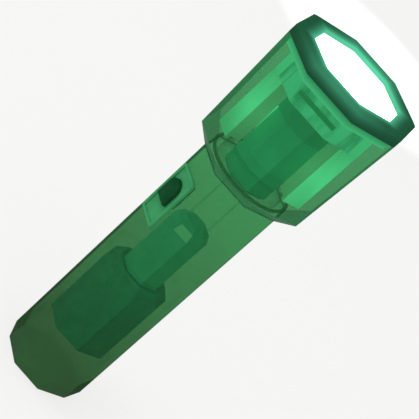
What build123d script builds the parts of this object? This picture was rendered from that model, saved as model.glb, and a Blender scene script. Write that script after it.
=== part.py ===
from build123d import *
import math
import os

os.makedirs("parts", exist_ok=True)

# Hand torch with an octagonal body and a shaken generator.
# Millimetres, +Z from the tail to the lens, origin at the centre of the flat tail face.
# The flat that carries the switch faces -Y.

# ---------------------------------------------------------------- driving dimensions
SIDES = 8
TURN = 22.5                       # puts a flat, not a corner, square to -Y
FLAT = math.cos(math.pi / SIDES)  # flat distance of an octagon of corner radius 1
GAP = 0.3                         # clearance between pieces that move past each other
RUN = 0.08                        # radial clearance of a running fit

# barrel, by corner radius
BARREL_R = 20.0
TAIL_R = 17.5
TAPER_Z = 7.7                     # end of the tail taper
SHOULDER_Z = 117.0                # where the head starts
CAVITY_R = 18.3
FLOOR = 2.4
NECK_R = 17.0
NECK_BORE_R = 15.0
NECK_TOP = 127.0
NECK_FLOOR = 113.5
FLAT_Y = -BARREL_R * FLAT         # outer face of the switch flat

# head, by corner radius
HEAD_REAR_R = 27.05
HEAD_REAR_Z = 123.5
HEAD_FRONT_R = 28.88
HEAD_FRONT_Z = 170.0
HEAD_WALL = 1.95
COLLAR_R = 19.6
BEZEL_CORNER_Z = 173.7
BEZEL_TOP = 174.5
BEZEL_RIM_R = 27.3
LENS_OPEN_R = 20.85
LENS_LIP_Z = 174.2
LENS_FACE_Z = 172.7
LENS_R = 25.2
LENS_Z = 169.4
SPIGOT_R = 26.6
RING_Z = 119.2
RING_SLOT = 1.7

# generator
SHROUD_R = 15.25
SHROUD_Z = 23.5
SHROUD_SHOULDER_Z = 55.5
SHROUD_TOP = 60.0
TUBE_R = 9.2
TUBE_BORE_R = 7.3
TUBE_NOSE_Z = 85.7
TUBE_TOP = 90.6
TUBE_Z = 26.6
COIL_Z = 33.0
COIL_TOP = 51.5
BUMPER = 3.0
MAGNET_R = 6.2
MAGNET_LENGTH = 20.0
GLIDE_R = 7.0
GLIDE = 2.5
LEAD_R = 0.4
LEAD_IN = 10.3                    # distance of the wires from the axis, at the coil
LEAD_OUT = 13.5                   # and along the barrel
LEAD_SPREAD = 9.8
LEAD_END = 111.4

# lamp carrier
CAN_R = 11.3
CAN_Z = 117.0
CAN_TOP = 149.0
CARRIER_R = 22.7
CARRIER_BORE_R = 11.45
RAIL_Z = 128.0
RAIL_TOP = 157.0
RAIL_BORE_R = 16.3
SLEEVE_R = 12.4
SLEEVE_Z = 147.0
SLEEVE_TOP = 156.0
LIP_HEIGHT = 2.0
FLANGE_TOP = 161.0
BAND_TOP = 163.0
CARRIER_TOP = 166.0
SLOT_DEPTH = 1.2
PAD = 1.0
DISC_HEIGHT = 2.0
CAN_CAP = 3.2
BOARD_Z = 149.1
LED_BOARD_TOP = 153.5
REFLECTOR_POLE = 152.0
REFLECTOR_FOCUS = 5.5
KEY_ANGLES = (115.0, 155.0)       # contact strips, on the side away from the switch

# switch
PLATE_Z = 83.6
PLATE_TOP = 108.1
PLATE_WIDTH = 12.0
PLATE_RAISE = 1.2
PLATE_FLOOR = 0.7
PLATE_BORDER = 1.2
KNOB_Z = 93.0
KNOB_LENGTH = 10.4
KNOB_WIDTH = 7.2
KNOB_HEIGHT = 1.9
SWITCH_TRAVEL = 6.0
STEM_Z = 98.2
STEM_LENGTH = 3.0
STEM_WIDTH = 3.0
POCKET_DEPTH = 0.9


def octagon(z, radius):
    """Octagonal section of the given corner radius, flats square to the axes."""
    with BuildSketch(Plane.XY.offset(z)) as section:
        RegularPolygon(radius=radius, side_count=SIDES, rotation=TURN)
    return section.sketch


def octagon_body(sections, mode=Mode.ADD):
    """Faceted solid through (z, corner radius) sections, in the current part."""
    loft(sections=[octagon(z, radius).face() for z, radius in sections], ruled=True, mode=mode)


def disc_body(z, top, radius, mode=Mode.ADD):
    """Round solid from z to top, in the current part."""
    with BuildSketch(Plane.XY.offset(z)) as section:
        Circle(radius)
    extrude(to_extrude=section.sketch, amount=top - z, mode=mode)


def long_edges(part, radius):
    """Edges of a faceted solid that run along it outside the given radius."""
    found = ShapeList()
    for edge in part.edges():
        start, end = edge.position_at(0), edge.position_at(1)
        far = min(math.hypot(start.X, start.Y), math.hypot(end.X, end.Y))
        if abs(start.Z - end.Z) > 2.0 and far > radius:
            found.append(edge)
    return found


def flat_plane(y):
    """Plane parallel to the switch flat, local x is +Z, local y is -X, out is -Y."""
    return Plane(origin=(0, y, 0), x_dir=(0, 0, 1), z_dir=(0, -1, 0))


def save(part, name):
    """Label a finished piece and write its STEP file."""
    part.label = name
    export_step(part, f"parts/{name}.step")


# ---------------------------------------------------------------- barrel
pocket_z = STEM_Z - SWITCH_TRAVEL - 5.0
pocket_top = STEM_Z + STEM_LENGTH + 4.0
with BuildPart() as barrel_shell:
    octagon_body([(0, TAIL_R), (TAPER_Z, BARREL_R), (SHOULDER_Z, BARREL_R)])
    fillet(long_edges(barrel_shell.part, TAIL_R - 1), 0.9)
    disc_body(SHOULDER_Z, NECK_TOP, NECK_R)
    octagon_body(
        [(FLOOR, TAIL_R - 1.7), (TAPER_Z + 0.4, CAVITY_R), (NECK_FLOOR, CAVITY_R)],
        mode=Mode.SUBTRACT,
    )
    disc_body(NECK_FLOOR, NECK_TOP, NECK_BORE_R, mode=Mode.SUBTRACT)
    # thicker wall behind the switch, then the shallow pocket its slider runs in
    with BuildSketch(flat_plane(FLAT_Y + 3.2)):
        with Locations(((PLATE_Z + PLATE_TOP) / 2, 0)):
            Rectangle(PLATE_TOP - PLATE_Z, PLATE_WIDTH)
    extrude(amount=3.0)
    with BuildSketch(flat_plane(FLAT_Y + POCKET_DEPTH)):
        with Locations(((pocket_z + pocket_top) / 2, 0)):
            Rectangle(pocket_top - pocket_z, 9.0)
    extrude(amount=POCKET_DEPTH + 1, mode=Mode.SUBTRACT)
save(barrel_shell.part, "barrel_shell")

with BuildPart() as rear_mount:
    octagon_body([(TAPER_Z + 0.9, CAVITY_R - 0.15), (SHROUD_Z - 0.1, CAVITY_R - 0.15)])
    octagon_body(
        [(TAPER_Z + 0.8, CAVITY_R - 1.1), (SHROUD_Z - 2.1, CAVITY_R - 1.1)], mode=Mode.SUBTRACT
    )
    disc_body(TAPER_Z, SHROUD_Z, 12.0, mode=Mode.SUBTRACT)
save(rear_mount.part, "rear_mount")

with BuildPart() as front_mount:
    with BuildSketch(Plane.XY.offset(SHROUD_TOP + 0.2)):
        RegularPolygon(radius=CAVITY_R - 0.15, side_count=SIDES, rotation=TURN)
        RegularPolygon(radius=CAVITY_R - 1.5, side_count=SIDES, rotation=TURN, mode=Mode.SUBTRACT)
        with PolarLocations(0, 2, start_angle=0, angular_range=180):
            Rectangle(2 * (CAVITY_R - 1.6), 2.4)
        RegularPolygon(radius=TUBE_R + 1.8, side_count=SIDES, rotation=TURN)
        RegularPolygon(radius=TUBE_R + 0.1, side_count=SIDES, rotation=TURN, mode=Mode.SUBTRACT)
    extrude(amount=1.6)
save(front_mount.part, "front_mount")

# ---------------------------------------------------------------- generator
with BuildPart() as coil_shroud:
    octagon_body(
        [
            (SHROUD_Z, SHROUD_R),
            (SHROUD_SHOULDER_Z, SHROUD_R),
            (SHROUD_TOP, TUBE_R + 1.9),
        ]
    )
    octagon_body(
        [(SHROUD_Z - 0.1, SHROUD_R - 1.3), (SHROUD_SHOULDER_Z, SHROUD_R - 1.3)],
        mode=Mode.SUBTRACT,
    )
    octagon_body([(SHROUD_Z, TUBE_R + 0.1), (SHROUD_TOP + 0.1, TUBE_R + 0.1)], mode=Mode.SUBTRACT)
    with BuildSketch(Plane(origin=(0, 0, COIL_TOP), x_dir=(-1, 1, 0), z_dir=(0, 0, 1))):
        with Locations((LEAD_IN, 0)):
            with GridLocations(1, LEAD_SPREAD, 1, 2):
                Circle(LEAD_R + 0.15)
    extrude(amount=10, mode=Mode.SUBTRACT)
save(coil_shroud.part, "coil_shroud")

with BuildPart() as shroud_cap:
    octagon_body([(SHROUD_Z, SHROUD_R - 1.4), (TUBE_Z - 0.1, SHROUD_R - 1.4)])
    disc_body(TUBE_Z - 0.1, TUBE_Z + 1.4, TUBE_BORE_R - 0.05)
save(shroud_cap.part, "shroud_cap")

with BuildPart() as guide_tube:
    octagon_body([(TUBE_Z, TUBE_R), (TUBE_NOSE_Z, TUBE_R), (TUBE_TOP - 1.6, 7.5), (TUBE_TOP, 4.5)])
    disc_body(TUBE_Z, TUBE_NOSE_Z, TUBE_BORE_R, mode=Mode.SUBTRACT)
save(guide_tube.part, "guide_tube")

with BuildPart() as coil_bobbin:
    octagon_body([(COIL_Z - 1.5, 12.6), (COIL_TOP + 1.5, 12.6)])
    with BuildSketch(Plane.XY.offset(COIL_Z)):
        Circle(14.0)
        Circle(10.4, mode=Mode.SUBTRACT)
    extrude(amount=COIL_TOP - COIL_Z, mode=Mode.SUBTRACT)
    octagon_body([(COIL_Z - 2, TUBE_R + 0.1), (COIL_TOP + 2, TUBE_R + 0.1)], mode=Mode.SUBTRACT)
save(coil_bobbin.part, "coil_bobbin")

wire_layers = 12
with BuildPart() as coil_winding:
    with BuildSketch(Plane.XY.offset(COIL_Z + 0.1)):
        Circle(11.4)
        Circle(10.45, mode=Mode.SUBTRACT)
    extrude(amount=COIL_TOP - COIL_Z - 0.2)
    with BuildSketch(Plane.XZ) as turns:
        with GridLocations(0, (COIL_TOP - COIL_Z - 1.6) / (wire_layers - 1), 1, wire_layers):
            with Locations((11.35, (COIL_Z + COIL_TOP) / 2)):
                Circle(0.75)
    revolve(axis=Axis.Z)
save(coil_winding.part, "coil_winding")

with BuildPart() as tail_bumper:
    disc_body(TUBE_Z + 1.5, TUBE_Z + 1.5 + BUMPER - 1, TUBE_BORE_R - 0.05)
    disc_body(TUBE_Z + 0.5 + BUMPER, TUBE_Z + 1.5 + BUMPER, 5.0)
save(tail_bumper.part, "tail_bumper")

with BuildPart() as nose_bumper:
    disc_body(TUBE_NOSE_Z - BUMPER, TUBE_NOSE_Z - BUMPER + 1, 5.0)
    disc_body(TUBE_NOSE_Z - BUMPER + 1, TUBE_NOSE_Z - 0.02, TUBE_BORE_R - 0.05)
save(nose_bumper.part, "nose_bumper")

# sliding magnet with a plastic glide cap on each end
magnet_z = TUBE_Z + 1.5 + BUMPER + 0.1
magnet_end = magnet_z + 2 * GLIDE + MAGNET_LENGTH
with BuildPart() as shaken_magnet:
    disc_body(magnet_z + GLIDE, magnet_end - GLIDE, MAGNET_R)
    chamfer(shaken_magnet.edges(), 0.5)
save(shaken_magnet.part, "shaken_magnet")

with BuildPart() as magnet_glides:
    for base, cup in ((magnet_z, magnet_z + GLIDE), (magnet_end - GLIDE - 1.5, magnet_end - GLIDE)):
        disc_body(base, base + GLIDE + 1.5, GLIDE_R)
    disc_body(magnet_z + GLIDE - 0.02, magnet_end - GLIDE + 0.02, MAGNET_R + 0.02, mode=Mode.SUBTRACT)
save(magnet_glides.part, "magnet_glides")

# two wires from the coil, out through the shroud shoulder and forward to the neck
lead_plane = Plane(origin=(0, 0, 0), x_dir=(-1, 1, 0), z_dir=(1, 1, 0))
with BuildPart() as coil_leads:
    with BuildLine(lead_plane) as route:
        FilletPolyline(
            (LEAD_IN, COIL_TOP + 1.7),
            (LEAD_IN, SHROUD_TOP + 3.0),
            (LEAD_OUT, SHROUD_TOP + 9.0),
            (LEAD_OUT, LEAD_END),
            radius=2.0,
        )
    with BuildSketch(Plane(origin=route.line @ 0, x_dir=(1, 1, 0), z_dir=(0, 0, 1))) as wires:
        with GridLocations(LEAD_SPREAD, 1, 2, 1):
            Circle(LEAD_R)
    sweep(sections=wires.sketch, path=route.line)
save(coil_leads.part, "coil_leads")

# brass strips in the neck that the lamp carrier's contacts run on, and that key it
with BuildPart() as neck_contacts:
    with BuildSketch(Plane.XY.offset(LEAD_END + 0.1)):
        for angle in KEY_ANGLES:
            with PolarLocations(NECK_BORE_R - 0.6, 1, start_angle=angle):
                Rectangle(0.9, 3.0)
    extrude(amount=NECK_TOP - 1.0 - LEAD_END)
save(neck_contacts.part, "neck_contacts")

# ---------------------------------------------------------------- switch
plate_mid = (PLATE_Z + PLATE_TOP) / 2
plate_length = PLATE_TOP - PLATE_Z
with BuildPart() as switch_plate:
    with BuildSketch(flat_plane(FLAT_Y - 0.12)):
        with Locations((plate_mid, 0)):
            RectangleRounded(plate_length, PLATE_WIDTH, 0.8)
    extrude(amount=PLATE_RAISE)
    with BuildSketch(flat_plane(FLAT_Y - 0.12 - PLATE_FLOOR)):
        with Locations((plate_mid, 0)):
            Rectangle(plate_length - 2 * PLATE_BORDER, PLATE_WIDTH - 2 * PLATE_BORDER)
    extrude(amount=PLATE_RAISE, mode=Mode.SUBTRACT)
    slot_z = STEM_Z - SWITCH_TRAVEL - 0.3
    slot_top = STEM_Z + STEM_LENGTH + 0.3
    with BuildSketch(flat_plane(FLAT_Y)):
        with Locations(((slot_z + slot_top) / 2, 0)):
            Rectangle(slot_top - slot_z, STEM_WIDTH + 0.6)
    extrude(amount=3, both=True, mode=Mode.SUBTRACT)
save(switch_plate.part, "switch_plate")

with BuildPart() as switch_gasket:
    with BuildSketch(flat_plane(FLAT_Y)):
        with Locations((plate_mid, 0)):
            RectangleRounded(plate_length - 0.4, PLATE_WIDTH - 0.4, 0.6)
        with Locations(((pocket_z + pocket_top) / 2, 0)):
            Rectangle(pocket_top - pocket_z + 0.1, 9.1, mode=Mode.SUBTRACT)
    extrude(amount=0.12)
save(switch_gasket.part, "switch_gasket")


def knob_outline(grow):
    """Tongue outline of the switch knob: flat at the rear, round at the front."""
    width = KNOB_WIDTH + 2 * grow
    start = KNOB_Z - grow
    front = KNOB_Z + KNOB_LENGTH + grow - width / 2
    with BuildSketch(Plane.XY) as tongue:
        with Locations(((start + front) / 2, 0)):
            Rectangle(front - start, width)
        with Locations((front, 0)):
            Circle(width / 2)
    return tongue.sketch


knob_y = FLAT_Y - 0.12 - PLATE_FLOOR - 0.15
with BuildPart() as switch_knob:
    extrude(to_extrude=flat_plane(knob_y) * knob_outline(0), amount=KNOB_HEIGHT)
    fillet(switch_knob.faces().sort_by(Axis.Y)[0].edges(), 0.5)
    with BuildSketch(flat_plane(knob_y)):
        with Locations((STEM_Z + STEM_LENGTH / 2, 0)):
            Rectangle(STEM_LENGTH, STEM_WIDTH)
    extrude(amount=-(PLATE_FLOOR + 0.15 + 0.12 + 0.12))
    with BuildSketch(flat_plane(knob_y)):
        with Locations((STEM_Z - 2.4, 0)):
            Rectangle(3.0, 5.0)
    extrude(amount=1.2, mode=Mode.SUBTRACT)
save(switch_knob.part, "switch_knob")

with BuildPart() as switch_magnet:
    with BuildSketch(flat_plane(knob_y - 0.05)):
        with Locations((STEM_Z - 2.4, 0)):
            Rectangle(2.9, 4.9)
    extrude(amount=1.1)
save(switch_magnet.part, "switch_magnet")

slider_y = knob_y + PLATE_FLOOR + 0.15 + 0.12 + 0.12
with BuildPart() as switch_slider:
    with BuildSketch(flat_plane(slider_y + 0.55)):
        with Locations((STEM_Z + STEM_LENGTH / 2, 0)):
            RectangleRounded(8.0, 6.4, 0.5)
    extrude(amount=0.55)
save(switch_slider.part, "switch_slider")

with BuildPart() as detent_spring:
    with BuildSketch(flat_plane(FLAT_Y + POCKET_DEPTH - 0.05)):
        with GridLocations(1, 2 * 3.95, 1, 2):
            with Locations((plate_mid + 1.0, 0)):
                Rectangle(13.0, 0.3)
    extrude(amount=0.7)
save(detent_spring.part, "detent_spring")

reed_y = FLAT_Y + 4.7
with BuildPart() as reed_switch:
    with BuildSketch(Plane.XY.offset(KNOB_Z - 1.5)):
        with Locations((0, reed_y)):
            Circle(1.1)
    extrude(amount=12.5)
    fillet(reed_switch.edges().filter_by(GeomType.CIRCLE), 0.9)
save(reed_switch.part, "reed_switch")

with BuildPart() as reed_clips:
    for z in (KNOB_Z + 1.0, KNOB_Z + 7.0):
        with BuildSketch(Plane.XY.offset(z)):
            with Locations((0, reed_y)):
                Rectangle(3.6, 2.9)
                Circle(1.15, mode=Mode.SUBTRACT)
        extrude(amount=1.6)
save(reed_clips.part, "reed_clips")

# ---------------------------------------------------------------- lamp carrier
disc_z = NECK_TOP + GAP


def reflector_radius(z):
    """Radius of the reflector's parabola at a height."""
    return math.sqrt(4 * REFLECTOR_FOCUS * (z - REFLECTOR_POLE))


def open_quadrants():
    """The two opposite quadrants between the rails, as seen along the axis."""
    with BuildSketch(Plane.XY) as quadrants:
        with PolarLocations(0, 2, start_angle=-90):
            Rectangle(2 * CARRIER_R, 2 * CARRIER_R, align=(Align.MIN, Align.MIN))
    return quadrants.sketch


# clear base that slides in the neck, keyed by the contact strips
with BuildPart() as carrier_base:
    disc_body(NECK_TOP - 8.5, disc_z, NECK_BORE_R - RUN)
    disc_body(disc_z, disc_z + DISC_HEIGHT, COLLAR_R - 0.1)
    octagon_body(
        [(NECK_TOP - 9, CARRIER_BORE_R), (disc_z + DISC_HEIGHT + 1, CARRIER_BORE_R)],
        mode=Mode.SUBTRACT,
    )
    for angle in KEY_ANGLES:
        with BuildSketch(Plane.XY.offset(NECK_TOP - 9)):
            with PolarLocations(NECK_BORE_R + 0.6, 1, start_angle=angle):
                Rectangle(4.0, 4.0)
        extrude(amount=9 + GAP, mode=Mode.SUBTRACT)
save(carrier_base.part, "carrier_base")

# bright light-guiding body: two solid rails and, in front, two bars across each open quadrant
slot_floor = CARRIER_R * FLAT - SLOT_DEPTH
facet_width = 2 * CARRIER_R * math.sin(math.pi / SIDES)
with BuildPart() as lamp_carrier:
    octagon_body([(RAIL_Z, CARRIER_R), (CARRIER_TOP, CARRIER_R)])
    octagon_body([(RAIL_Z - 1, RAIL_BORE_R), (RAIL_TOP, RAIL_BORE_R)], mode=Mode.SUBTRACT)
    extrude(
        to_extrude=Plane.XY.offset(RAIL_Z - 1) * open_quadrants(),
        amount=RAIL_TOP - RAIL_Z + 1,
        mode=Mode.SUBTRACT,
    )
    disc_body(RAIL_Z - 1, disc_z + DISC_HEIGHT, COLLAR_R, mode=Mode.SUBTRACT)
    # rear lip that takes the board sleeve
    octagon_body([(RAIL_TOP - LIP_HEIGHT, SLEEVE_R + 1.1), (RAIL_TOP, SLEEVE_R + 1.1)])
    octagon_body(
        [(RAIL_TOP - LIP_HEIGHT - 1, SLEEVE_R + 0.1), (RAIL_TOP, SLEEVE_R + 0.1)],
        mode=Mode.SUBTRACT,
    )
    # flat-floored slot across the one facet in the middle of each open quadrant
    with BuildSketch(Plane.XY.offset(FLANGE_TOP)):
        with PolarLocations(slot_floor + 2.0, 2, start_angle=-45):
            Rectangle(4.0, facet_width)
    extrude(amount=BAND_TOP - FLANGE_TOP, mode=Mode.SUBTRACT)
    # clearance for the reflector
    with BuildSketch(Plane.XZ):
        with BuildLine():
            Polyline(
                (0, RAIL_TOP - LIP_HEIGHT - 1),
                (reflector_radius(RAIL_TOP) + 1.2, RAIL_TOP - LIP_HEIGHT - 1),
                (reflector_radius(RAIL_TOP) + 1.2, RAIL_TOP),
                (reflector_radius(FLANGE_TOP) + 1.2, FLANGE_TOP),
                (reflector_radius(CARRIER_TOP) + 1.2, CARRIER_TOP + 0.1),
                (0, CARRIER_TOP + 0.1),
                close=True,
            )
        make_face()
    revolve(axis=Axis.Z, mode=Mode.SUBTRACT)
save(lamp_carrier.part, "lamp_carrier")

with BuildPart() as carrier_contacts:
    with BuildSketch(Plane.XY.offset(NECK_TOP - 7.5)):
        for angle in KEY_ANGLES:
            with PolarLocations(NECK_BORE_R - 1.22, 1, start_angle=angle):
                Rectangle(0.3, 2.4)
    extrude(amount=6.0)
save(carrier_contacts.part, "carrier_contacts")

with BuildPart() as carrier_pads:
    with BuildSketch(Plane.XY.offset(FLANGE_TOP + 0.05)):
        with PolarLocations(slot_floor + 0.05 + PAD / 2, 2, start_angle=-45):
            Rectangle(PAD, facet_width - 0.1)
    extrude(amount=BAND_TOP - FLANGE_TOP - 0.1)
save(carrier_pads.part, "carrier_pads")

with BuildPart() as storage_can:
    octagon_body([(CAN_Z + CAN_CAP, CAN_R), (CAN_TOP, CAN_R)])
    fillet(storage_can.faces().sort_by(Axis.Z)[-1].edges(), 0.6)
save(storage_can.part, "storage_can")

with BuildPart() as can_cap:
    octagon_body([(CAN_Z, CAN_R - 1.6), (CAN_Z + 1.6, CAN_R), (CAN_Z + CAN_CAP, CAN_R)])
save(can_cap.part, "can_cap")

# sleeve between can and carrier: holds the two boards
with BuildPart() as board_sleeve:
    octagon_body([(SLEEVE_Z, SLEEVE_R), (SLEEVE_TOP, SLEEVE_R)])
    octagon_body([(SLEEVE_Z - 1, CARRIER_BORE_R), (SLEEVE_TOP + 1, CARRIER_BORE_R)], mode=Mode.SUBTRACT)
save(board_sleeve.part, "board_sleeve")

with BuildPart() as circuit_board:
    octagon_body([(BOARD_Z, CAN_R - 0.3), (BOARD_Z + 1.2, CAN_R - 0.3)])
save(circuit_board.part, "circuit_board")

with BuildPart() as board_parts:
    with BuildSketch(Plane.XY.offset(BOARD_Z + 1.2)):
        with PolarLocations(6.8, 4, start_angle=45):
            Rectangle(3.2, 1.8)
        with PolarLocations(6.4, 4, start_angle=0):
            Circle(1.0)
    extrude(amount=1.2)
save(board_parts.part, "board_parts")

with BuildPart() as led_board:
    octagon_body([(LED_BOARD_TOP - 1.5, CAN_R - 0.3), (LED_BOARD_TOP, CAN_R - 0.3)])
save(led_board.part, "led_board")

with BuildPart() as led_emitter:
    with BuildSketch(Plane.XY.offset(LED_BOARD_TOP)):
        RectangleRounded(5.0, 5.0, 0.5)
    extrude(amount=1.0)
    with BuildSketch(Plane.XZ):
        with BuildLine():
            Line((0, LED_BOARD_TOP + 1.0), (2.2, LED_BOARD_TOP + 1.0))
            CenterArc((0, LED_BOARD_TOP + 1.0), 2.2, 0, 90)
            Line((0, LED_BOARD_TOP + 3.2), (0, LED_BOARD_TOP + 1.0))
        make_face()
    revolve(axis=Axis.Z)
save(led_emitter.part, "led_emitter")

bowl_z = LED_BOARD_TOP + 0.1
bowl_steps = 9
bowl = [bowl_z + (CARRIER_TOP - bowl_z) * step / (bowl_steps - 1) for step in range(bowl_steps)]
with BuildPart() as reflector:
    with BuildSketch(Plane.XZ):
        with BuildLine():
            Spline([(reflector_radius(z), z) for z in bowl])
            Polyline(
                (reflector_radius(CARRIER_TOP), CARRIER_TOP),
                (reflector_radius(CARRIER_TOP), CARRIER_TOP + 0.9),
                (CARRIER_R - 1.8, CARRIER_TOP + 0.9),
                (CARRIER_R - 1.8, CARRIER_TOP),
                (reflector_radius(CARRIER_TOP) + 0.8, CARRIER_TOP),
            )
            Spline([(reflector_radius(z) + 0.8, z) for z in reversed(bowl)])
            Line(
                (reflector_radius(bowl_z) + 0.8, bowl_z),
                (reflector_radius(bowl_z), bowl_z),
            )
        make_face()
    revolve(axis=Axis.Z)
save(reflector.part, "reflector")

# ---------------------------------------------------------------- head
with BuildPart() as head_shell:
    octagon_body(
        [
            (SHOULDER_Z + 0.3, BARREL_R),
            (HEAD_REAR_Z, HEAD_REAR_R),
            (HEAD_FRONT_Z, HEAD_FRONT_R),
        ]
    )
    fillet(long_edges(head_shell.part, HEAD_REAR_R - 1), 0.9)
    octagon_body(
        [
            (HEAD_REAR_Z - 1.5, HEAD_REAR_R - 4.6),
            (HEAD_REAR_Z + 1.5, HEAD_REAR_R - HEAD_WALL),
            (HEAD_FRONT_Z + 0.1, HEAD_FRONT_R - HEAD_WALL),
        ],
        mode=Mode.SUBTRACT,
    )
    disc_body(SHOULDER_Z + 1, NECK_TOP, COLLAR_R)
    disc_body(SHOULDER_Z, NECK_TOP + 1, NECK_R + RUN, mode=Mode.SUBTRACT)
    disc_body(RING_Z, RING_Z + RING_SLOT, NECK_R + 1.45, mode=Mode.SUBTRACT)
save(head_shell.part, "head_shell")

with BuildPart() as neck_ring:
    with BuildSketch(Plane.XZ):
        with Locations((NECK_R + RUN + 0.66, RING_Z + RING_SLOT / 2)):
            Circle(0.66)
    revolve(axis=Axis.Z)
save(neck_ring.part, "neck_ring")

with BuildPart() as bezel:
    octagon_body(
        [
            (HEAD_FRONT_Z, HEAD_FRONT_R),
            (BEZEL_CORNER_Z, HEAD_FRONT_R),
            (BEZEL_TOP, BEZEL_RIM_R),
        ]
    )
    fillet(long_edges(bezel.part, HEAD_FRONT_R - 1), 0.9)
    octagon_body([(HEAD_FRONT_Z - 3.5, SPIGOT_R), (HEAD_FRONT_Z, SPIGOT_R)])
    octagon_body([(LENS_LIP_Z, LENS_OPEN_R), (BEZEL_TOP + 0.2, BEZEL_RIM_R)], mode=Mode.SUBTRACT)
    octagon_body([(HEAD_FRONT_Z, LENS_OPEN_R), (BEZEL_TOP, LENS_OPEN_R)], mode=Mode.SUBTRACT)
    octagon_body([(HEAD_FRONT_Z - 4, LENS_R + 0.1), (LENS_Z + 1.9, LENS_R + 0.1)], mode=Mode.SUBTRACT)
save(bezel.part, "bezel")

with BuildPart() as lens:
    octagon_body([(LENS_Z, LENS_R), (LENS_Z + 1.85, LENS_R)])
    octagon_body([(LENS_Z + 1.85, LENS_OPEN_R - 0.1), (LENS_FACE_Z, LENS_OPEN_R - 0.1)])
save(lens.part, "lens")

with BuildPart() as lens_gasket:
    octagon_body([(LENS_Z - 1.3, LENS_R), (LENS_Z - 0.02, LENS_R)])
    octagon_body([(LENS_Z - 1.4, LENS_R - 2.0), (LENS_Z, LENS_R - 2.0)], mode=Mode.SUBTRACT)
save(lens_gasket.part, "lens_gasket")
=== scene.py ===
import math

import bpy
from mathutils import Matrix, Vector


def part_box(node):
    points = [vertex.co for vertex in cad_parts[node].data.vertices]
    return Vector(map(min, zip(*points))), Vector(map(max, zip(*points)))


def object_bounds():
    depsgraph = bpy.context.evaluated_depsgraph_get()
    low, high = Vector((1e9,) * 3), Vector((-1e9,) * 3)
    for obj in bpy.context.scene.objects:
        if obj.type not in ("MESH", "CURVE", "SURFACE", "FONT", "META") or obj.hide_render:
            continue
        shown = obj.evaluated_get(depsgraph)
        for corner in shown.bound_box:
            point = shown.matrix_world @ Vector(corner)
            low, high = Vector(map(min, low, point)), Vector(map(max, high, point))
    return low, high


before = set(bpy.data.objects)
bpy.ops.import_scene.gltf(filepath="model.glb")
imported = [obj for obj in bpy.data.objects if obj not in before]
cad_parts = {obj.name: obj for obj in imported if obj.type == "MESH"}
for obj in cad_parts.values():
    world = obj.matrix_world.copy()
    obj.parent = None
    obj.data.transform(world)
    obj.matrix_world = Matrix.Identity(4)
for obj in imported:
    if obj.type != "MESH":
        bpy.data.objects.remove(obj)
cad_low, cad_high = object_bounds()
LENGTH = cad_high.z - cad_low.z

scene = bpy.context.scene
scene.view_settings.view_transform = "Standard"
scene.cycles.transparent_max_bounces = 40

# ---------------------------------------------------------------- places, from the frame
shell_low, shell_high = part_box("barrel_shell")
head_low, head_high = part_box("head_shell")
bezel_low, bezel_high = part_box("bezel")
SHOULDER_Z = head_low.z
HEAD_RADIUS = bezel_high.x
LENS_RADIUS = HEAD_RADIUS * 0.722
TAIL_Z = LENGTH * 0.0435
# KEY_WAY: direction of the painted key shading on the opaque inner parts
KEY_WAY = (0.35, -0.85, 0.3)
FLOOR_Z = cad_low.z - 0.0003
FLARE_Z = LENGTH * 0.7077
HEAD_FRONT = head_high.z
FLARE_R = HEAD_RADIUS * 0.9367
RAIL_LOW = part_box("lamp_carrier")[0].z
RAIL_LENGTH = 0.029
RAIL_HIGH = RAIL_LOW + RAIL_LENGTH
NECK_TINT = 0.18


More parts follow.
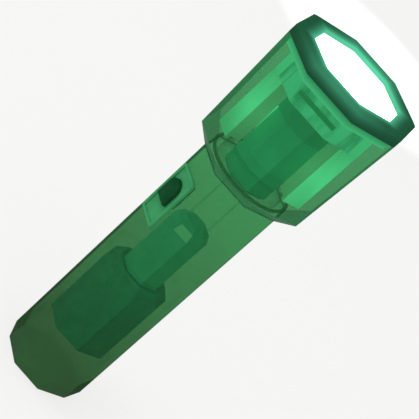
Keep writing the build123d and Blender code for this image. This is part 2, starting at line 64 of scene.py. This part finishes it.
# ---------------------------------------------------------------- node helpers
class Shader:
    """A material under construction: short calls that add nodes and link them."""

    def __init__(self, name):
        self.material = bpy.data.materials.new(name)
        self.material.use_nodes = True
        self.tree = self.material.node_tree
        self.tree.nodes.clear()
        self.output = self.tree.nodes.new("ShaderNodeOutputMaterial")
        self.place = self.add("ShaderNodeTexCoord").outputs["Object"]

    def add(self, kind, **sockets):
        node = self.tree.nodes.new(kind)
        for key, value in sockets.items():
            self.feed(node.inputs[key.replace("_", " ")], value)
        return node

    def feed(self, socket, value):
        if isinstance(value, bpy.types.NodeSocket):
            self.tree.links.new(value, socket)
        elif isinstance(value, tuple) and len(value) == 3 and socket.type == "RGBA":
            socket.default_value = (*value, 1.0)
        else:
            socket.default_value = value

    def noise(self, scale, detail=3.0, stretch=(1, 1, 1)):
        mapping = self.add("ShaderNodeMapping", Vector=self.place, Scale=stretch)
        node = self.add("ShaderNodeTexNoise", Vector=mapping.outputs[0], Scale=scale, Detail=detail)
        return node.outputs["Fac"]

    def span(self, value, low, high, to_low=0.0, to_high=1.0, smooth=False):
        node = self.add("ShaderNodeMapRange", Value=value)
        node.interpolation_type = "SMOOTHSTEP" if smooth else "LINEAR"
        for key, number in zip(("From Min", "From Max", "To Min", "To Max"), (low, high, to_low, to_high)):
            node.inputs[key].default_value = number
        return node.outputs["Result"]

    def math(self, operation, a, b=0.0, clamp=False):
        node = self.add("ShaderNodeMath")
        node.operation = operation
        node.use_clamp = clamp
        self.feed(node.inputs[0], a)
        self.feed(node.inputs[1], b)
        return node.outputs[0]

    def blend(self, factor, a, b):
        node = self.add("ShaderNodeMix")
        node.data_type = "RGBA"
        self.feed(node.inputs["Factor"], factor)
        self.feed(node.inputs[6], a)
        self.feed(node.inputs[7], b)
        return node.outputs[2]

    def axis(self, index):
        return self.add("ShaderNodeSeparateXYZ", Vector=self.place).outputs[index]

    def across(self):
        """Distance from the axis to the octagon's face through this point."""
        parts = self.add("ShaderNodeSeparateXYZ", Vector=self.place).outputs
        x = self.math("ABSOLUTE", parts[0])
        y = self.math("ABSOLUTE", parts[1])
        diagonal = self.math("MULTIPLY", self.math("ADD", x, y), math.sqrt(0.5))
        return self.math("MAXIMUM", self.math("MAXIMUM", x, y), diagonal)

    def towards(self, way):
        """How squarely the surface faces the given direction."""
        normal = self.add("ShaderNodeNewGeometry").outputs["Normal"]
        node = self.add("ShaderNodeVectorMath")
        node.operation = "DOT_PRODUCT"
        self.feed(node.inputs[0], normal)
        node.inputs[1].default_value = Vector(way).normalized()
        return node.outputs["Value"]

    def bump(self, height, distance, strength=1.0):
        return self.add("ShaderNodeBump", Height=height, Distance=distance, Strength=strength).outputs[0]

    def mix(self, factor, a, b):
        node = self.add("ShaderNodeMixShader")
        self.feed(node.inputs[0], factor)
        self.feed(node.inputs[1], a)
        self.feed(node.inputs[2], b)
        return node.outputs[0]

    def finish(self, surface):
        self.feed(self.output.inputs["Surface"], surface)
        return self.material


def paint(material, *nodes):
    """Gives the CAD nodes this material in every slot."""
    for name in nodes:
        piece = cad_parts[name]
        if not piece.data.materials:
            piece.data.materials.append(material)
        for index in range(len(piece.data.materials)):
            piece.data.materials[index] = material


# ---------------------------------------------------------------- materials
def see_through(name, low_z, high_z, tints, colours, cover, outer=None, glow=0.0, lean=0.25, dim=0.42):
    """Moulded see-through plastic, coloured at its outer skin only, so the walls inside stay clear.

    tints and colours are (at low_z, at high_z) pairs, a painted glow that brightens towards the lamp head;
    glow is painted emission, though the plastic is no lamp; outer tells which points lie on the skin."""
    s = Shader(name)
    # painted light: colour and tint brighten from low_z to high_z, towards the lamp head, with random cloud
    painted_head_glow = s.span(s.axis(2), low_z, high_z)
    cloud = s.span(s.noise(38.0), 0.3, 0.7, -0.1, 0.1)
    painted_glow_and_cloud = s.math("ADD", painted_head_glow, cloud, clamp=True)
    colour = s.blend(painted_glow_and_cloud, *colours)
    smear = s.span(s.noise(90.0, 5.0, (1, 1, 0.25)), 0.35, 0.75, 0.3, 0.45)
    skin = s.bump(s.noise(900.0, 2.0), 0.00004)
    body = s.add(
        "ShaderNodeBsdfPrincipled",
        Base_Color=colour,
        Roughness=smear,
        Specular_IOR_Level=0.06,
        Normal=skin,
        Emission_Color=colour,
        Emission_Strength=glow,
    )
    facing = s.add("ShaderNodeLayerWeight", Blend=0.5).outputs["Facing"]
    slant = s.span(facing, 0.35, 0.95, smooth=True)
    deep = s.blend(slant, s.blend(painted_glow_and_cloud, *tints), tuple(dim * c for c in tints[0]))
    opaque = s.span(slant, 0.0, 1.0, cover, min(1.0, cover + lean))
    if outer is not None:
        mask = outer(s)
        deep = s.blend(mask, (1.0, 1.0, 1.0), deep)
        opaque = s.math("MULTIPLY", opaque, mask)
    clear = s.add("ShaderNodeBsdfTransparent", Color=deep)
    return s.finish(s.mix(opaque, clear.outputs[0], body.outputs[0]))


def barrel_skin(s):
    """1 on the barrel's outer skin, a little on the neck, 0 in its bore."""
    z = s.axis(2)
    across = s.across()
    edge = s.span(z, shell_low.z, TAIL_Z, shell_high.x * 0.876 - 0.001, shell_high.x - 0.001)
    wide = s.math("GREATER_THAN", across, edge)
    tail = s.math("LESS_THAN", z, 0.0005)
    neck = s.math("MULTIPLY", s.span(z, SHOULDER_Z + 0.0001, SHOULDER_Z + 0.0003), NECK_TINT)
    return s.math("MAXIMUM", s.math("MAXIMUM", wide, tail), neck)


def head_skin(s):
    """1 on the head's outer skin, 0 inside it."""
    z = s.axis(2)
    flare = s.span(z, SHOULDER_Z, FLARE_Z, shell_high.x, FLARE_R)
    cone = s.span(z, FLARE_Z, head_high.z, FLARE_R, head_high.x)
    flare.node.clamp = False
    edge = s.math("SUBTRACT", s.math("MINIMUM", flare, cone), 0.0006)
    return s.math("GREATER_THAN", s.across(), edge)


def solid_plastic(
    name, deep, bright, roughness=0.45, glow=0.0, grain=260.0, shine=0.25, painted_highlight_way=None, fade=None
):
    """Opaque moulded plastic with a faint mottle, a fine skin and dulled patches.

    A painted glow stands in for light caught inside the shell; it is painted strongest on the faces towards
    the key light, as painted shading, and fade paints it weaker along z. A given highlight direction paints a
    lighter highlight on the faces towards it."""
    s = Shader(name)
    mottle = s.span(s.noise(grain, 4.0), 0.3, 0.7)
    colour = s.blend(mottle, deep, bright)
    rough = s.span(s.noise(grain * 0.4, 3.0), 0.3, 0.7, roughness - 0.08, roughness + 0.1)
    # painted shading: the glow is strongest on faces towards KEY_WAY, weakest on faces away from it
    painted_key_shading = s.span(s.towards(KEY_WAY), 0.05, 0.9, 0.36, 1.08)
    strength = s.math("MULTIPLY", painted_key_shading, glow)
    # painted glow that fades along z
    if fade is not None:
        strength = s.math("MULTIPLY", strength, s.span(s.axis(2), *fade))
    # painted highlight: faces towards this direction are painted a lighter green
    if painted_highlight_way is not None:
        painted_highlight = s.span(s.towards(painted_highlight_way), 0.965, 0.985)
        colour = s.blend(painted_highlight, colour, (0.13, 0.29, 0.19))
    body = s.add(
        "ShaderNodeBsdfPrincipled",
        Base_Color=colour,
        Roughness=rough,
        Specular_IOR_Level=shine,
        Normal=s.bump(s.noise(grain * 5, 2.0), 0.00005),
        Emission_Color=colour,
        Emission_Strength=strength,
    )
    return s.finish(body.outputs[0])


def lit_carrier():
    """Light-guiding plastic painted as glowing, though it is no lamp: rails painted brightest at their
    middle, cut faces painted darker as shade, and bars, with worn, cloudy patches.
    """
    s = Shader("lit_carrier")
    x, y, z = s.add("ShaderNodeSeparateXYZ", Vector=s.place).outputs
    near_cut = s.math("MINIMUM", s.math("ABSOLUTE", x), s.math("ABSOLUTE", y))
    in_rail = s.math("GREATER_THAN", s.math("MULTIPLY", x, y), 0.0)
    strip = s.math("MULTIPLY", in_rail, s.math("GREATER_THAN", near_cut, 0.0043))
    swirl = s.noise(60.0, 4.0, (1, 1, 0.35))
    cloud = s.span(swirl, 0.32, 0.68, -0.4, 0.4)
    # painted glow: rails brightest at the middle of their length, darker at both ends
    painted_rail_glow = s.math("SUBTRACT", 1.0, s.math("ABSOLUTE", s.span(z, RAIL_LOW, RAIL_HIGH, -1.0, 1.0)))
    painted_glow_and_cloud = s.math("ADD", s.math("POWER", painted_rail_glow, 0.8), cloud, clamp=True)
    rail = s.blend(painted_glow_and_cloud, (0.19, 0.8, 0.42), (0.30, 1.3, 0.74))
    flecks = s.span(s.noise(170.0, 5.0, (1, 1, 0.5)), 0.4, 0.62)
    bar = s.blend(flecks, (0.075, 0.46, 0.25), (0.17, 0.82, 0.48))
    # painted shade: the cut faces get darker colours
    cut = s.blend(painted_glow_and_cloud, (0.15, 0.42, 0.21), (0.22, 0.66, 0.34))
    front = s.span(z, RAIL_HIGH - 0.0006, RAIL_HIGH + 0.0002)
    collar = s.blend(strip, bar, (0.2, 0.92, 0.52))
    body_colour = s.blend(front, rail, collar)
    colour = s.blend(s.math("LESS_THAN", near_cut, 0.0002), body_colour, cut)
    # painted glow: the whole carrier emits light
    glow = s.add("ShaderNodeEmission", Color=colour, Strength=0.88)
    gloss = s.add(
        "ShaderNodeBsdfPrincipled",
        Base_Color=colour,
        Roughness=s.span(swirl, 0.3, 0.7, 0.3, 0.5),
        Normal=s.bump(s.noise(700.0, 2.0), 0.00006),
    )
    return s.finish(s.mix(0.12, glow.outputs[0], gloss.outputs[0]))


def metal(name, colour, shade, roughness, stretch=(1, 1, 12)):
    """Drawn or plated metal with fine streaks."""
    s = Shader(name)
    streak = s.noise(420.0, 4.0, stretch)
    body = s.add(
        "ShaderNodeBsdfPrincipled",
        Base_Color=s.blend(s.span(streak, 0.3, 0.7), shade, colour),
        Metallic=1.0,
        Roughness=s.span(streak, 0.3, 0.7, roughness, roughness + 0.15),
        Normal=s.bump(streak, 0.00003),
    )
    return s.finish(body.outputs[0])


# painted light: these see-through plastics are painted brighter towards the head, and barrel, head, ring and
# sleeving get a painted glow
barrel_plastic = see_through(
    "barrel_plastic", shell_low.z, SHOULDER_Z,
    ((0.205, 0.345, 0.205), (0.265, 0.59, 0.345)), ((0.028, 0.08, 0.032), (0.033, 0.22, 0.088)),
    0.15, barrel_skin, 0.1,
)
head_plastic = see_through(
    "head_plastic", head_low.z, head_high.z,
    ((0.28, 0.53, 0.34), (0.29, 0.58, 0.37)), ((0.035, 0.22, 0.09), (0.04, 0.3, 0.12)), 0.15, head_skin, 0.15,
)
mount_plastic = see_through(
    "mount_plastic", shell_low.z, SHOULDER_Z,
    ((0.985, 0.99, 0.985), (0.985, 0.99, 0.985)), ((0.05, 0.16, 0.07), (0.05, 0.2, 0.08)),
    0.01, None, 0.0, 0.05, 0.9,
)
base_plastic = see_through(
    "base_plastic", SHOULDER_Z, head_high.z,
    ((0.99, 0.995, 0.99), (0.99, 0.995, 0.99)), ((0.05, 0.22, 0.09), (0.05, 0.28, 0.11)),
    0.01, None, 0.0, 0.05, 0.9,
)
ring_plastic = see_through(
    "ring_plastic", SHOULDER_Z, head_high.z,
    ((0.62, 0.62, 0.5), (0.62, 0.62, 0.5)), ((0.07, 0.15, 0.05), (0.07, 0.15, 0.05)),
    0.15, None, 0.3, 0.1, 0.8,
)
# painted light: the glow argument makes these inner parts glow, though none is a lamp
plate_plastic = solid_plastic(
    "plate_plastic", (0.030, 0.19, 0.07), (0.042, 0.25, 0.097), 0.5, 0.1, 110.0, 0.0
)
carrier_plastic = lit_carrier()
sleeve_plastic = solid_plastic("sleeve_plastic", (0.022, 0.17, 0.09), (0.028, 0.19, 0.1), 0.5, 0.75)
lead_sleeving = see_through(
    "lead_sleeving", shell_low.z, SHOULDER_Z,
    ((0.9, 0.96, 0.92), (0.9, 0.96, 0.92)), ((0.05, 0.25, 0.1), (0.05, 0.3, 0.12)),
    0.05, None, 0.2, 0.1, 0.95,
)
dark_plastic = solid_plastic("dark_plastic", (0.022, 0.118, 0.075), (0.03, 0.148, 0.092), 0.5, 0.95)
# painted highlight on the tube's dome, on faces towards (0.55, -0.62, 0.56)
tube_plastic = solid_plastic(
    "tube_plastic", (0.035, 0.19, 0.12), (0.045, 0.215, 0.135), 0.4, 0.95, 260.0, 0.25, (0.55, -0.62, 0.56)
)
# painted glow, stronger near the shoulder, weaker towards the front of the head
can_sleeve = solid_plastic(
    "can_sleeve", (0.03, 0.23, 0.125), (0.036, 0.26, 0.14), 0.4, 0.9, 160.0, 0.2, None,
    (SHOULDER_Z, head_high.z - 0.03, 1.25, 0.84),
)
cap_plastic = solid_plastic("cap_plastic", (0.045, 0.24, 0.14), (0.055, 0.27, 0.155), 0.5, 0.85)
knob_plastic = solid_plastic(
    "knob_plastic", (0.005, 0.045, 0.015), (0.008, 0.058, 0.021), 0.6, 0.0, 260.0, 0.0
)
soft_rubber = solid_plastic("soft_rubber", (0.008, 0.07, 0.025), (0.012, 0.1, 0.035), 0.7)
band_rubber = solid_plastic("band_rubber", (0.03, 0.2, 0.085), (0.035, 0.23, 0.1), 0.6, 0.6)
board_green = solid_plastic("board_green", (0.01, 0.12, 0.045), (0.015, 0.16, 0.06), 0.35, 0.1)
board_black = solid_plastic("board_black", (0.01, 0.012, 0.01), (0.02, 0.022, 0.02), 0.4)
glide_plastic = solid_plastic("glide_plastic", (0.02, 0.12, 0.05), (0.03, 0.15, 0.06), 0.35)
wire_enamel = metal("wire_enamel", (0.10, 0.42, 0.16), (0.05, 0.28, 0.1), 0.3, (1, 1, 30))
nickel = metal("nickel", (0.75, 0.76, 0.73), (0.55, 0.57, 0.54), 0.18)
brass = metal("brass", (0.80, 0.62, 0.26), (0.62, 0.45, 0.16), 0.28)
mirror_bowl = metal("mirror_bowl", (0.9, 0.95, 0.91), (0.8, 0.87, 0.82), 0.12)

paint(barrel_plastic, "barrel_shell")
paint(head_plastic, "head_shell")
paint(mount_plastic, "rear_mount", "front_mount", "reed_clips")
paint(base_plastic, "carrier_base")
paint(plate_plastic, "switch_plate")
paint(carrier_plastic, "lamp_carrier")
paint(dark_plastic, "coil_shroud", "shroud_cap")
paint(tube_plastic, "guide_tube")
paint(can_sleeve, "storage_can")
paint(sleeve_plastic, "board_sleeve")
paint(cap_plastic, "can_cap")
paint(knob_plastic, "switch_knob", "switch_slider")
paint(soft_rubber, "tail_bumper", "nose_bumper", "switch_gasket", "lens_gasket")
paint(ring_plastic, "neck_ring")
paint(band_rubber, "carrier_pads")
paint(board_green, "circuit_board", "led_board")
paint(board_black, "board_parts")
paint(glide_plastic, "coil_bobbin", "magnet_glides")
paint(wire_enamel, "coil_winding")
paint(lead_sleeving, "coil_leads")
paint(nickel, "shaken_magnet", "switch_magnet")
paint(brass, "neck_contacts", "carrier_contacts", "detent_spring")
paint(mirror_bowl, "reflector")


def lit_lens():
    """Frosted lens lit from behind: white, with the faintest mint at its rim and fine ribs."""
    s = Shader("lit_lens")
    flat = s.add("ShaderNodeVectorMath", Vector=s.place)
    flat.operation = "MULTIPLY"
    flat.inputs[1].default_value = (1, 1, 0)
    radius = s.add("ShaderNodeVectorMath")
    radius.operation = "LENGTH"
    s.feed(radius.inputs[0], flat.outputs[0])
    rim = s.span(radius.outputs["Value"], LENS_RADIUS * 0.75, LENS_RADIUS, smooth=True)
    cells = s.add("ShaderNodeTexVoronoi", Vector=s.place, Scale=700.0)
    colour = s.blend(rim, (1.0, 1.0, 1.0), (0.86, 1.0, 0.93))
    body = s.add(
        "ShaderNodeBsdfPrincipled",
        Base_Color=(0.9, 0.97, 0.93),
        Roughness=s.span(cells.outputs["Distance"], 0.0, 0.6, 0.15, 0.35),
        Normal=s.bump(cells.outputs["Distance"], 0.0002, 0.4),
        Emission_Color=colour,
        Emission_Strength=s.span(rim, 0.0, 1.0, 3.2, 2.0),
    )
    return s.finish(body.outputs[0])


def bezel_plastic():
    """Dark green plastic with painted light from the lens: a painted glow on its front fading towards its
    rim, painted brighter on the sides along the x = -y diagonal and on its outer side near the front edge,
    and a painted glow on the part tucked inside the head.
    """
    s = Shader("bezel_plastic")
    z = s.axis(2)
    across = s.across()
    x, y = s.axis(0), s.axis(1)
    # painted light: the sides along the x = -y diagonal are painted brighter
    spread = s.math("POWER", s.math("SUBTRACT", x, y), 2.0)
    square = s.math("ADD", s.math("MULTIPLY", x, x), s.math("MULTIPLY", y, y))
    painted_side_mask = s.math("POWER", s.math("DIVIDE", s.math("MULTIPLY", spread, 0.5), square), 2.0)
    painted_side_glow = s.math("ADD", s.math("MULTIPLY", painted_side_mask, 0.17), 0.012)
    ring = s.math("POWER", s.span(across, HEAD_RADIUS * 0.93, LENS_RADIUS, 0.0, 1.0), 2.6)
    ring = s.math("ADD", s.math("MULTIPLY", ring, 0.42), painted_side_glow)
    # painted glow on the outer side, strongest near the front edge
    side = s.math("POWER", s.span(z, bezel_high.z - 0.0042, bezel_high.z - 0.0004, 0.0, 1.0), 1.5)
    on_ring = s.math("LESS_THAN", across, HEAD_RADIUS * 0.946)
    glow = s.blend(on_ring, s.math("MULTIPLY", side, painted_side_glow), ring)
    tucked = s.span(z, HEAD_FRONT + 0.0001, HEAD_FRONT - 0.0001)
    mottle = s.span(s.noise(200.0, 4.0), 0.3, 0.7)
    colour = s.blend(mottle, (0.007, 0.052, 0.021), (0.009, 0.06, 0.025))
    grain = s.bump(s.noise(1100.0, 2.0), 0.00004)
    body = s.add("ShaderNodeBsdfDiffuse", Color=colour, Roughness=0.5, Normal=grain)
    sheen = s.add("ShaderNodeBsdfGlossy", Color=(0.25, 0.7, 0.45), Roughness=0.35)
    # painted glow on the part tucked inside the head, strongest deepest in
    painted_tucked_glow = s.blend(s.span(z, bezel_low.z, HEAD_FRONT), (0.2, 0.78, 0.48), (0.04, 0.24, 0.13))
    lit = s.blend(glow, (0.0, 0.0, 0.0), (0.16, 0.95, 0.56))
    light = s.add("ShaderNodeEmission", Color=s.blend(tucked, lit, painted_tucked_glow), Strength=1.0)
    total = s.add("ShaderNodeAddShader")
    s.feed(total.inputs[0], s.mix(0.015, body.outputs[0], sheen.outputs[0]))
    s.feed(total.inputs[1], light.outputs[0])
    return s.finish(total.outputs[0])


def lit_emitter():
    """Warm-white phosphor under a clear dome, switched on."""
    s = Shader("lit_emitter")
    grain = s.span(s.noise(2200.0, 2.0), 0.3, 0.7)
    body = s.add(
        "ShaderNodeBsdfPrincipled",
        Base_Color=s.blend(grain, (0.9, 0.85, 0.5), (0.95, 0.92, 0.7)),
        Roughness=0.15,
        Emission_Color=s.blend(grain, (1.0, 0.97, 0.85), (1.0, 1.0, 0.95)),
        Emission_Strength=6.0,
    )
    return s.finish(body.outputs[0])


def reed_glass():
    """Thin green-tinted glass capsule with a soft gloss."""
    s = Shader("reed_glass")
    clear = s.add("ShaderNodeBsdfTransparent", Color=(0.8, 0.95, 0.85))
    haze = s.span(s.noise(500.0), 0.3, 0.7, 0.05, 0.12)
    gloss = s.add("ShaderNodeBsdfPrincipled", Base_Color=(0.5, 0.7, 0.55), Roughness=haze)
    edge = s.add("ShaderNodeLayerWeight", Blend=0.3).outputs["Fresnel"]
    return s.finish(s.mix(s.span(edge, 0.0, 1.0, 0.25, 0.9), clear.outputs[0], gloss.outputs[0]))


paint(lit_lens(), "lens")
paint(bezel_plastic(), "bezel")
paint(lit_emitter(), "led_emitter")
paint(reed_glass(), "reed_switch")


# ---------------------------------------------------------------- floor, light and camera
SPOT_HEIGHT = 1.0


def studio_floor():
    """Plain pale floor, so evenly lit that the torch casts almost no shadow."""
    half = LENGTH * 40
    corners = [(-half, -half), (half, -half), (half, half), (-half, half)]
    mesh = bpy.data.meshes.new("floor")
    mesh.from_pydata([(x, y, FLOOR_Z) for x, y in corners], [], [(0, 1, 2, 3)])
    floor = bpy.data.objects.new("floor", mesh)
    scene.collection.objects.link(floor)
    s = Shader("floor_paper")
    mottle = s.span(s.noise(3.0, 2.0), 0.3, 0.7)
    paper = s.add("ShaderNodeBsdfDiffuse", Color=s.blend(mottle, (0.86, 0.86, 0.85), (0.88, 0.88, 0.87)))
    tone = s.blend(mottle, (0.896, 0.896, 0.888), (0.902, 0.902, 0.894))
    light = s.add("ShaderNodeEmission", Color=tone, Strength=1.0)
    mesh.materials.append(s.finish(s.mix(0.85, paper.outputs[0], light.outputs[0])))


def soft_light(name, position, size, energy, target):
    data = bpy.data.lights.new(name, "AREA")
    data.shape = "DISK"
    data.size = size
    data.energy = energy
    lamp = bpy.data.objects.new(name, data)
    lamp.location = position
    lamp.rotation_euler = (Vector(target) - Vector(position)).to_track_quat("-Z", "Y").to_euler()
    scene.collection.objects.link(lamp)


def backdrop_light(spot_x, spot_y, radius, energy):
    """Spot straight above the floor behind the torch: a pool of light like the glow of its head."""
    data = bpy.data.lights.new("backdrop", "SPOT")
    data.energy = energy
    data.spot_size = 2 * math.atan(radius / SPOT_HEIGHT)
    data.spot_blend = 0.6
    data.shadow_soft_size = 0.004
    lamp = bpy.data.objects.new("backdrop", data)
    lamp.location = (spot_x, spot_y, SPOT_HEIGHT)
    scene.collection.objects.link(lamp)


studio_floor()
world = bpy.data.worlds.new("studio")
world.use_nodes = True
world.node_tree.nodes["Background"].inputs["Color"].default_value = (1.0, 1.0, 0.99, 1.0)
world.node_tree.nodes["Background"].inputs["Strength"].default_value = 0.915
scene.world = world
middle = (0, 0, LENGTH / 2)
soft_light("key", (-0.5, -0.7, 0.9), 0.8, 6.0, middle)
soft_light("fill", (0.9, -0.3, 0.5), 0.9, 3.0, middle)
backdrop_light(-2.45 * LENGTH, 2.31 * LENGTH, 0.6 * LENGTH, 110.0)

CAMERA_AZIMUTH = math.radians(46.7)
CAMERA_ELEVATION = math.radians(25.4)
CAMERA_ROLL = math.radians(47.7)
CAMERA_DISTANCE = 3.151 * LENGTH
CAMERA_AIM = Vector((-0.001 * LENGTH, -0.001 * LENGTH, 0.5606 * LENGTH))
CAMERA_LENS = 128.9


def place_camera():
    """Looks down on the switch side, rolled so the torch runs from lower left to upper right."""
    a, e, roll = CAMERA_AZIMUTH, CAMERA_ELEVATION, CAMERA_ROLL
    back = Vector((math.sin(a) * math.cos(e), -math.cos(a) * math.cos(e), math.sin(e)))
    right = Vector((0, 0, 1)).cross(back).normalized()
    up = back.cross(right)
    rolled_right = right * math.cos(roll) + up * math.sin(roll)
    rolled_up = up * math.cos(roll) - right * math.sin(roll)
    data = bpy.data.cameras.new("camera")
    data.lens = CAMERA_LENS
    data.sensor_width = 36.0
    data.clip_end = 50.0
    camera = bpy.data.objects.new("camera", data)
    turn = Matrix((rolled_right, rolled_up, back)).transposed().to_4x4()
    camera.matrix_world = Matrix.Translation(CAMERA_AIM + back * CAMERA_DISTANCE) @ turn
    scene.collection.objects.link(camera)
    scene.camera = camera


place_camera()
